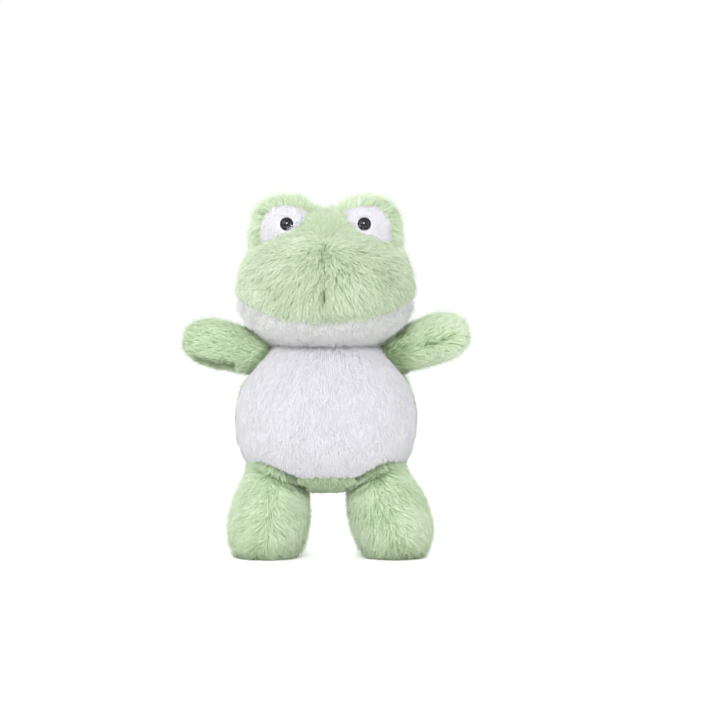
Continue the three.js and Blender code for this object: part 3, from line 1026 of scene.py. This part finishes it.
def comb_leg(body, s, sweep):
    """The pile sweeps off the middle seam of the leg to both sides, and down at the foot."""

    def f(P):
        L = SHAPES[body].local(P)
        x = L[:, 0]
        out = np.tanh(x / 6.0) * sweep - np.sign(x) * 0.55 * np.exp(-((x / 1.8) ** 2))
        foot = 1 - smooth(L[:, 2], -66, -44)
        D = np.stack([out, L[:, 1] / 60, -(0.55 + 0.4 * foot)], 1)
        return D @ SHAPES[body].R.T

    return f


def over_mouth(P):
    """Height over the mouth seam."""
    return P[:, 2] - (175.4 + 19 * (np.abs(P[:, 0]) / 65) ** 2.4)


def off_patch(P):
    """Distance in the front view from the lower edge of an eye patch, on the muzzle side of it."""
    line = np.array([(11, 251), (14.6, 244.2), (20.2, 239.4), (27.5, 234.8), (34, 231.2), (45, 229.6)])
    q = np.stack([np.abs(P[:, 0]), P[:, 2]], 1)
    r = np.full(len(P), 99.0)
    for a, b in zip(line, line[1:]):
        d = b - a
        t = np.clip((q - a) @ d / (d @ d), 0, 1)
        r = np.minimum(r, np.linalg.norm(q - a - t[:, None] * d, axis=1))
    return np.where(P[:, 1] < 5, r, 99.0)


def from_crown(P):
    return np.linalg.norm(P - np.array(MUZZLE_TOP), axis=1)


def tall_head(P):
    top = smooth(P[:, 2], 238, 256)
    brow = smooth(P[:, 2], 222, 234) * (1 - top)
    return 4.6 - 1.5 * brow + 1.1 * top


def tall_muzzle(P):
    H = tall_head(P)
    H *= 1 - 0.22 * (1 - smooth(off_patch(P), 0, 6))
    H *= 1 - 0.3 * smooth(np.abs(P[:, 0]), 50, 61)
    H *= 1 - 0.35 * (1 - smooth(over_mouth(P), 0, 7))
    return H


def tall_hood(P):
    return 4.0 + 1.9 * smooth(P[:, 2], 246, 258)


def long_muzzle(P):
    """The pile is shorter over the brow than on the muzzle, and beside the crown, the eye patches and the mouth."""
    L = 7.6 - 0.6 * smooth(P[:, 2], 226, 240)
    L *= 1 - 0.5 * (1 - smooth(from_crown(P), 2, 14))
    corner = smooth(P[:, 2], 235, 243)  # the pile is trimmed at the inner end of the patch
    L *= 1 - (0.2 + 0.35 * corner) * (1 - smooth(off_patch(P), 0, 6))
    mouth = 1 - smooth(over_mouth(P), 0, 9)
    L *= (1 - 0.5 * mouth) * (1 + 0.25 * mouth * waves(P, 6, 52))
    return L


def ruffled(P):
    return 0.16 - 0.05 * smooth(P[:, 2], 228, 240) + 0.6 * np.exp(-((from_crown(P) / 9) ** 2))


def tone_muzzle(P):
    shade = smooth(P[:, 0], -30, 45)  # the toy's left cheek is in shade
    # Painted shade: the pile is darker in the cleft of the muzzle.
    slit = np.exp(-((P[:, 0] / 1.6) ** 2)) * np.exp(-(((P[:, 2] - 194.5) / 8) ** 2))
    # Painted light: the toy's right cheek is painted lighter, on the side the light comes from.
    cheek = smooth(-P[:, 0], 20, 50)
    flank = smooth(P[:, 1], -30, 0)
    return 0.395 - 0.035 * shade - 0.04 * smooth(P[:, 2], 226, 245) + 0.1 * cheek + 0.14 * flank - 0.2 * slit


def hold_muzzle(P):
    """The tufts come apart round the crown, where the pile stands up."""
    return 0.78 - 0.35 * np.exp(-((from_crown(P) / 9) ** 2)) - 0.45 * smooth(P[:, 2], 228, 240)


def spread_muzzle(P):
    return 1.08 - 0.6 * smooth(P[:, 2], 228, 240) - 0.35 * smooth(-P[:, 0], 30, 55)


def tone_hood(P):
    return 0.62 + 0.08 * waves(P, 9, 74)


def belly_tall(P):
    return 3.0 + 1.0 * smooth(P[:, 2], 145, 157)


def belly_long(P):
    low = 1 - smooth(P[:, 2], 64, 72)
    return (5.2 + 0.8 * smooth(P[:, 2], 145, 157) - 3.2 * low) * (1 + 0.3 * low * waves(P, 7, 51))


def chin_tall(P):
    return 2.7 + 1.8 * (1 - smooth(P[:, 2], 160, 170)) + 1.3 * smooth(np.abs(P[:, 0]), 38, 56)


def chin_long(P):
    return 4.4 + 3.2 * (1 - smooth(P[:, 2], 158, 167))


def tone_white(P):
    """The belly is painted darker in the middle, as painted shade against the front lamp's light, with a faint line of
    painted shade down the middle of the upper belly, as in a parting, and faint mottling.
    """
    middle = np.exp(-((P[:, 0] / 34) ** 2) - ((P[:, 2] - 122) / 34) ** 2)
    return 0.54 - 0.26 * middle + 0.06 * waves(P, 6, 73) - 0.06 * np.exp(-((P[:, 0] / 2.2) ** 2)) * smooth(P[:, 2], 130, 150)


def tone_chin(P):
    """Painted shade: the jaw is darker in the middle and on the toy's left, as in the shade of the snout, and darker
    along its underside. Painted light: it is lighter on the toy's right, where the light comes from.
    """
    mottle = 0.06 * waves(P, 6, 71) + 0.05 * waves(P, 14, 72)
    return mottle + 0.46 - 0.2 * smooth(P[:, 0], 12, 50) - 0.1 * (1 - smooth(P[:, 2], 160, 168)) + 0.07 * smooth(-P[:, 0], 20, 45)


def tone_arm(s):
    """Painted shade: an arm is darker where it leaves the body. The toy's left one is paler towards its end."""

    def f(P):
        out = s * P[:, 0] + 2.5 * waves(P, 8, 91)
        if s > 0:
            return 0.5 - 0.34 * (1 - smooth(out, 50, 68)) + 0.16 * smooth(out, 74, 96)
        return 0.35 + 0.03 * smooth(out, 50, 66)

    return f


def tone_leg(P):
    """The pile is thinner round the foot. Painted shade: it is darker towards the bottom of the foot, where it meets
    the floor, and a little darker on the toy's left leg, away from the key light.
    """
    return 0.55 - 0.05 * smooth(P[:, 0], -10, 10) - 0.18 * (1 - smooth(P[:, 2], 8, 22)) - 0.32 * (1 - smooth(P[:, 2], 2, 8))


def ruffle_leg(P):
    return 0.16 + 0.3 * (1 - smooth(P[:, 2], 4, 14))


def tone_seat(P):
    """The seat is painted darker in the middle, as painted shade between the legs and under the belly. Beside the legs
    its pile is as long and light as theirs.
    """
    return 0.22 + 0.34 * smooth(np.abs(P[:, 0]), 14, 22)


def tall_seat(P):
    return 2.4 + 2.2 * smooth(np.abs(P[:, 0]), 14, 22)


def long_seat(P):
    return 5.0 + 2.2 * smooth(np.abs(P[:, 0]), 14, 22)


def comb_seat(P):
    beside = smooth(np.abs(P[:, 0]), 12, 22)
    return np.stack([P[:, 0] / 160 + 0.5 * np.sign(P[:, 0]) * beside, 0.15 - 0.3 * beside, -1 + P[:, 1] * 0], 1)


def thick_muzzle(P):
    """The pile is thickest round the crown, where it parts, and beside the cleft."""
    cleft = np.exp(-((P[:, 0] / 4) ** 2)) * np.exp(-(((P[:, 2] - 194.5) / 10) ** 2))
    return np.clip(0.62 + 0.5 * np.exp(-((from_crown(P) / 9) ** 2)) + 0.3 * cleft, 0, 1)


def tone_plain(value):
    return lambda P: np.full(len(P), value)


piles = []


def pile(node, comb, material, density, height, length, **kw):
    piles.append(
        Pile(skins[node], comb, material, density, height, length, seed=len(piles) + 1, **kw)
    )


FINE = dict(width=0.3, clump=1.1, hold=0.25, ruffle=0.09, wander=0.1, curl=0.08, steps=SHORT, round=0.25)
PLAIN = dict(width=0.36, clump=1.7, hold=0.58, ruffle=0.14, wander=0.18, curl=0.13, round=0.6)
ARM = dict(width=0.29, clump=1.2, hold=0.66, ruffle=0.14, wander=0.14, curl=0.18, round=0.6)
pile("belly_panel", comb_belly, WHITE_PILE, 3.9, belly_tall, belly_long, tone=tone_white, tone_spread=0.35, **{**FINE, "width": 0.25, "clump": 1.1, "hold": 0.34, "ruffle": 0.15, "wander": 0.12, "curl": 0.16, "round": 0.2})
pile("seat_panel", comb_seat, GREEN_PILE, 3.0, tall_seat, long_seat, width=0.32, clump=1.4, hold=0.5, ruffle=0.14, curl=0.14, tone=tone_seat, tone_spread=0.9, round=0.6)
pile("chin_panel", comb_chin, CHIN_PILE, 3.2, chin_tall, chin_long, tone=tone_chin, tone_spread=0.8, loose_share=0.22, **{**FINE, "hold": 0.36, "clump": 1.3, "ruffle": 0.2, "curl": 0.2, "round": 0.32})
for side, s in (("left", 1), ("right", -1)):
    pile(f"muzzle_panel_{side}", comb_front, SNOUT_PILE, 5.2, tall_muzzle, long_muzzle, kept=thick_muzzle, width=0.28, clump=1.15, hold=hold_muzzle, ruffle=ruffled, wander=0.13, curl=0.18, tone=tone_muzzle, tone_spread=spread_muzzle, round=0.64, loose_share=0.12)
    pile(f"eye_hood_{side}", comb_hood(s), GREEN_PILE, 3.4, tall_hood, 7.5, width=0.3, clump=1.5, hold=0.4, ruffle=0.14, wander=0.12, curl=0.14, tone=tone_hood, tone_spread=1.0, round=0.55, loose_share=0.22)
    pile(f"eye_patch_{side}", comb_patch(s), WHITE_PILE, 4.8, tall_patch(s), 3.4, tone=tone_plain(0.4), tone_spread=0.4, **{**FINE, "width": 0.24, "clump": 1.0, "round": 0.2})
    pile(f"head_back_{side}", comb_back, GREEN_PILE, 1.85, tall_head, 9.0, **{**PLAIN, "width": 0.4})
    pile(f"back_panel_{side}", comb_down, GREEN_PILE, 1.85, 4.3, 9.0, **{**PLAIN, "width": 0.4})
    for half in ("front", "back"):
        pile(f"arm_{side}_{half}", comb_arm(f"arm_{side}", s), GREEN_PILE, 3.6 if half == "front" else 2.2, 4.0, 6.4, tone=tone_arm(s), crease=0.75 if s > 0 else 0.4, tone_spread=0.9, loose_share=0.2, **ARM)
    for half in ("outer", "inner"):
        pile(f"leg_{side}_{half}", comb_leg(f"leg_{side}", s, 0.95 if s < 0 else 0.6), GREEN_PILE, 3.2, 4.2, 6.8, tone=tone_leg, crease=0.2, tone_spread=1.0, loose_share=0.2, **{**ARM, "ruffle": ruffle_leg, "hold": 0.62})

fibres = sum(p.build() for p in piles)
print("faces of pile", sum(len(p.C) * (6 * (len(p.steps) - 2) + 4) for p in piles))

# ------------------------------------------------------------------ filling


def filling(node, body, name, shape, shrink, voxel=2.4):
    """Stuffing packed into the skin: a full, lumpy mass of fibre that stays inside its solid."""
    me = remeshed(node, voxel)
    P = get_co(me)
    if shape is not None:
        N, _ = shape.frame(P)
    else:
        N = unit(P - P.mean(0))
    bm = bmesh.new()
    bm.from_mesh(me)
    bm.normal_update()
    VN = np.array([v.normal for v in bm.verts])
    bm.free()
    lump = 0.5 * waves(P, 19, 41) + 0.35 * waves(P, 8, 42)
    set_co(me, P - VN * (shrink + 0.5 * (1 + np.clip(lump, -1.6, 1.6)))[:, None])
    obj = new_object(name, me, FIBRE, body, "stuffing")
    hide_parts(node)
    return obj


filling("torso_stuffing", "torso", "filling_torso", TORSO, 1.6)
filling("head_stuffing", "head", "filling_head", HEAD, 1.8)
filling("neck_stuffing", "neck", "filling_neck", None, 0.4)
for side in ("left", "right"):
    filling(f"arm_{side}_stuffing", f"arm_{side}", f"filling_arm_{side}", SHAPES[f"arm_{side}"], 1.4, 1.8)
    filling(f"leg_{side}_stuffing", f"leg_{side}", f"filling_leg_{side}", SHAPES[f"leg_{side}"], 1.4, 2.0)

# ------------------------------------------------------------------ eyes and washers


def lathed(name, profile, seat, around, material, body, slot, node):
    """A closed turned piece. The profile runs from axis to axis, or round a ring, in mm."""
    bm = bmesh.new()
    rows = []
    for r, z in profile:
        if r < 1e-6:
            rows.append([bm.verts.new((0, 0, z * MM))])
        else:
            rows.append(
                [
                    bm.verts.new(
                        (
                            r * math.cos(2 * math.pi * i / around) * MM,
                            r * math.sin(2 * math.pi * i / around) * MM,
                            z * MM,
                        )
                    )
                    for i in range(around)
                ]
            )
    loop = profile[0] == profile[-1]
    if loop:
        for v in rows.pop():
            bm.verts.remove(v)
        rows.append(rows[0])
    for a, b in zip(rows, rows[1:]):
        for i in range(around):
            j = (i + 1) % around
            if len(a) == 1:
                bm.faces.new((a[0], b[i], b[j]))
            elif len(b) == 1:
                bm.faces.new((a[i], b[0], a[j]))
            else:
                bm.faces.new((a[i], b[i], b[j], a[j]))
    bmesh.ops.recalc_face_normals(bm, faces=bm.faces)
    bm.transform(seat)
    me = bpy.data.meshes.new(name)
    bm.to_mesh(me)
    bm.free()
    obj = new_object(name, me, material, body, slot)
    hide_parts(node)
    return obj


SHANK = 1.6
for side, s in (("left", 1), ("right", -1)):
    c, n = EYES[s]
    turn = Vector((0, 0, 1)).rotation_difference(Vector(n)).to_matrix().to_4x4()
    seat = Matrix.Translation(Vector(c) * MM) @ turn
    dome = [(0, -12), (SHANK - 0.5, -12), (SHANK - 0.15, -11.6)]
    for i in range(9):  # locking rings down the shank
        z = -11.2 + i * 0.95
        dome += [(SHANK, z), (SHANK, z + 0.45), (SHANK - 0.22, z + 0.6), (SHANK - 0.22, z + 0.85)]
    dome += [(SHANK, -2.4), (SHANK, 0.1), (SHANK + 0.25, 0.35), (EYE_R - 0.45, 0.35), (EYE_R - 0.15, 0.45), (EYE_R - 0.02, 0.65), (EYE_R, 0.85)]
    for i in range(1, 22):
        a = i / 22 * math.pi / 2
        dome.append((EYE_R * math.cos(a), 0.85 + 3.15 * math.sin(a)))
    dome.append((0, 4.0))
    lathed(f"eye_dome_{side}", dome, seat, 64, EYE, "head", "eye_plastic", f"eye_{side}")
    b = -(SKIN + 3.2)
    ring = [
        (SHANK + 0.35, b - 0.1),
        (SHANK + 0.55, b),
        (5.7, b),
        (5.95, b - 0.15),
        (6.0, b - 0.4),
        (6.0, b - 1.1),
        (5.8, b - 1.35),
        (3.6, b - 1.75),
        (3.3, b - 2.1),
        (3.2, b - 3.7),
        (3.0, b - 3.95),
        (SHANK + 0.55, b - 4.0),
        (SHANK + 0.35, b - 3.85),
        (SHANK + 0.35, b - 0.1),
    ]
    lathed(f"washer_{side}", ring, seat, 48, WASHER, "head", "washer_plastic", f"eye_washer_{side}")

# ------------------------------------------------------------------ closing thread


def thread():
    """The ladder stitch down the back: two plies twisted round each other."""
    pts = []
    for i in range(13):
        z, x = 78 + i * 3.2, (1.7 if i % 2 else -1.7)
        p = np.array([[x, 60.0, z]])
        lo, hi = 0.0, 140.0
        for _ in range(40):
            t = (lo + hi) / 2
            inside = TORSO.level(np.array([[x, 5 + t, z]]))[0] < 1
            lo, hi = (t, hi) if inside else (lo, t)
        p[0, 1] = 5 + lo + 0.85
        pts.append(p[0])
    pts = np.array(pts)
    # Catmull-Rom through the stitch points
    ext = np.vstack([2 * pts[0] - pts[1], pts, 2 * pts[-1] - pts[-2]])
    path = []
    for i in range(1, len(ext) - 2):
        a, b, c, d = ext[i - 1 : i + 3]
        for t in np.linspace(0, 1, 14, endpoint=False):
            path.append(
                0.5 * (2 * b + (c - a) * t + (2 * a - 5 * b + 4 * c - d) * t * t + (3 * b - a - 3 * c + d) * t**3)
            )
    path.append(ext[-2])
    path = np.array(path)
    flow = unit(np.gradient(path, axis=0))
    up = unit(np.cross(flow, np.array([1.0, 0.2, 0.1])))
    side = np.cross(flow, up)
    run = np.concatenate([[0], np.cumsum(np.linalg.norm(np.diff(path, axis=0), axis=1))])
    bm = bmesh.new()
    for ply in (0, math.pi):
        twist = run / 1.1 * 2 * math.pi / 2 + ply
        centre = path + (up * np.cos(twist)[:, None] + side * np.sin(twist)[:, None]) * 0.19
        rows = []
        for k in range(len(path)):
            rows.append(
                [
                    bm.verts.new(
                        tuple(
                            (centre[k] + (up[k] * math.cos(a) + side[k] * math.sin(a)) * 0.2) * MM
                        )
                    )
                    for a in np.linspace(0, 2 * math.pi, 7)[:-1]
                ]
            )
        for a, b in zip(rows, rows[1:]):
            for i in range(6):
                j = (i + 1) % 6
                bm.faces.new((a[i], a[j], b[j], b[i]))
        bm.faces.new(rows[0][::-1])
        bm.faces.new(rows[-1])
    bmesh.ops.recalc_face_normals(bm, faces=bm.faces)
    me = bpy.data.meshes.new("closing_thread")
    bm.to_mesh(me)
    bm.free()
    obj = new_object("closing_thread", me, THREAD, "torso", "thread")
    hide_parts("closing_stitch")


thread()

# ------------------------------------------------------------------ floor, light and camera


def backdrop():
    """A plain pale floor, far wider than the object."""
    m, t, p = new_material("floor_pale")
    where = t.nodes.new("ShaderNodeTexCoord")
    soft = t.nodes.new("ShaderNodeTexNoise")
    soft.inputs["Scale"].default_value = 3
    t.links.new(where.outputs["Object"], soft.inputs["Vector"])
    col = ramp(t, [(0.3, (0.93, 0.93, 0.93, 1)), (0.7, (0.95, 0.95, 0.95, 1))], soft.outputs["Fac"])
    t.links.new(col, p.inputs["Base Color"])
    p.inputs["Roughness"].default_value = 0.9
    socket(p, "Specular IOR Level").default_value = 0.1
    socket(p, "Emission Color").default_value = (1, 1, 1, 1)
    socket(p, "Emission Strength").default_value = 0.09
    bm = bmesh.new()
    profile = [(0.0, 0.0), (0.6, 0.0), (1.5, 0.0), (4.0, 0.0), (9.0, 0.0)]
    around = 96
    rows = []
    for r, z in profile:
        if r == 0:
            rows.append([bm.verts.new((0, 0, z))])
        else:
            rows.append(
                [
                    bm.verts.new((r * math.cos(2 * math.pi * i / around), r * math.sin(2 * math.pi * i / around), z))
                    for i in range(around)
                ]
            )
    for a, b in zip(rows, rows[1:]):
        for i in range(around):
            j = (i + 1) % around
            if len(a) == 1:
                bm.faces.new((a[0], b[i], b[j]))
            else:
                bm.faces.new((a[i], b[i], b[j], a[j]))
    me = bpy.data.meshes.new("floor")
    bm.to_mesh(me)
    bm.free()
    me.materials.append(m)
    me.shade_smooth()
    obj = bpy.data.objects.new("floor", me)
    scene.collection.objects.link(obj)


backdrop()


def area(name, place, aim, size, power, colour=(1, 1, 1)):
    data = bpy.data.lights.new(name, "AREA")
    data.shape = "DISK"
    data.size = size
    data.energy = power
    data.color = colour
    obj = bpy.data.objects.new(name, data)
    scene.collection.objects.link(obj)
    obj.location = place
    obj.rotation_mode = "QUATERNION"
    obj.rotation_quaternion = (Vector(aim) - Vector(place)).to_track_quat("-Z", "Y")
    return obj


area("key_light", (-1.3, -1.4, 1.4), (0, 0, 0.13), 1.5, 14.0, (1.0, 0.99, 0.98))
area("fill_light", (1.6, -1.3, 0.9), (0, 0, 0.13), 1.4, 6.0, (0.98, 0.99, 1.0))
area("back_light", (0.7, 1.7, 1.4), (0, 0, 0.15), 1.3, 17.0)
area("back_fill", (-1.5, 1.3, 0.9), (0, 0, 0.13), 1.3, 9.0)
area("front_lamp", (-0.06, -1.5, 1.0), (0, 0, 0.2), 0.48, 17.0)
world = bpy.data.worlds.new("studio")
world.use_nodes = True
world.node_tree.nodes["Background"].inputs["Color"].default_value = (1.0, 1.0, 1.0, 1)
world.node_tree.nodes["Background"].inputs["Strength"].default_value = 1.0
scene.world = world
scene.view_settings.view_transform = "Standard"
scene.view_settings.look = "None"

camera = bpy.data.cameras.new("camera")
camera.sensor_width = 36
camera.lens = 108.9
cam = bpy.data.objects.new("camera", camera)
scene.collection.objects.link(cam)
AIM = Vector((0.025, 0.0, 0.1447))
TILT = math.radians(2.0)
FAR = 1.6
cam.location = AIM + Vector((0, -math.cos(TILT), math.sin(TILT))) * FAR
cam.rotation_mode = "QUATERNION"
cam.rotation_quaternion = (AIM - cam.location).to_track_quat("-Z", "Y")
camera.clip_start, camera.clip_end = 0.05, 30
scene.camera = cam
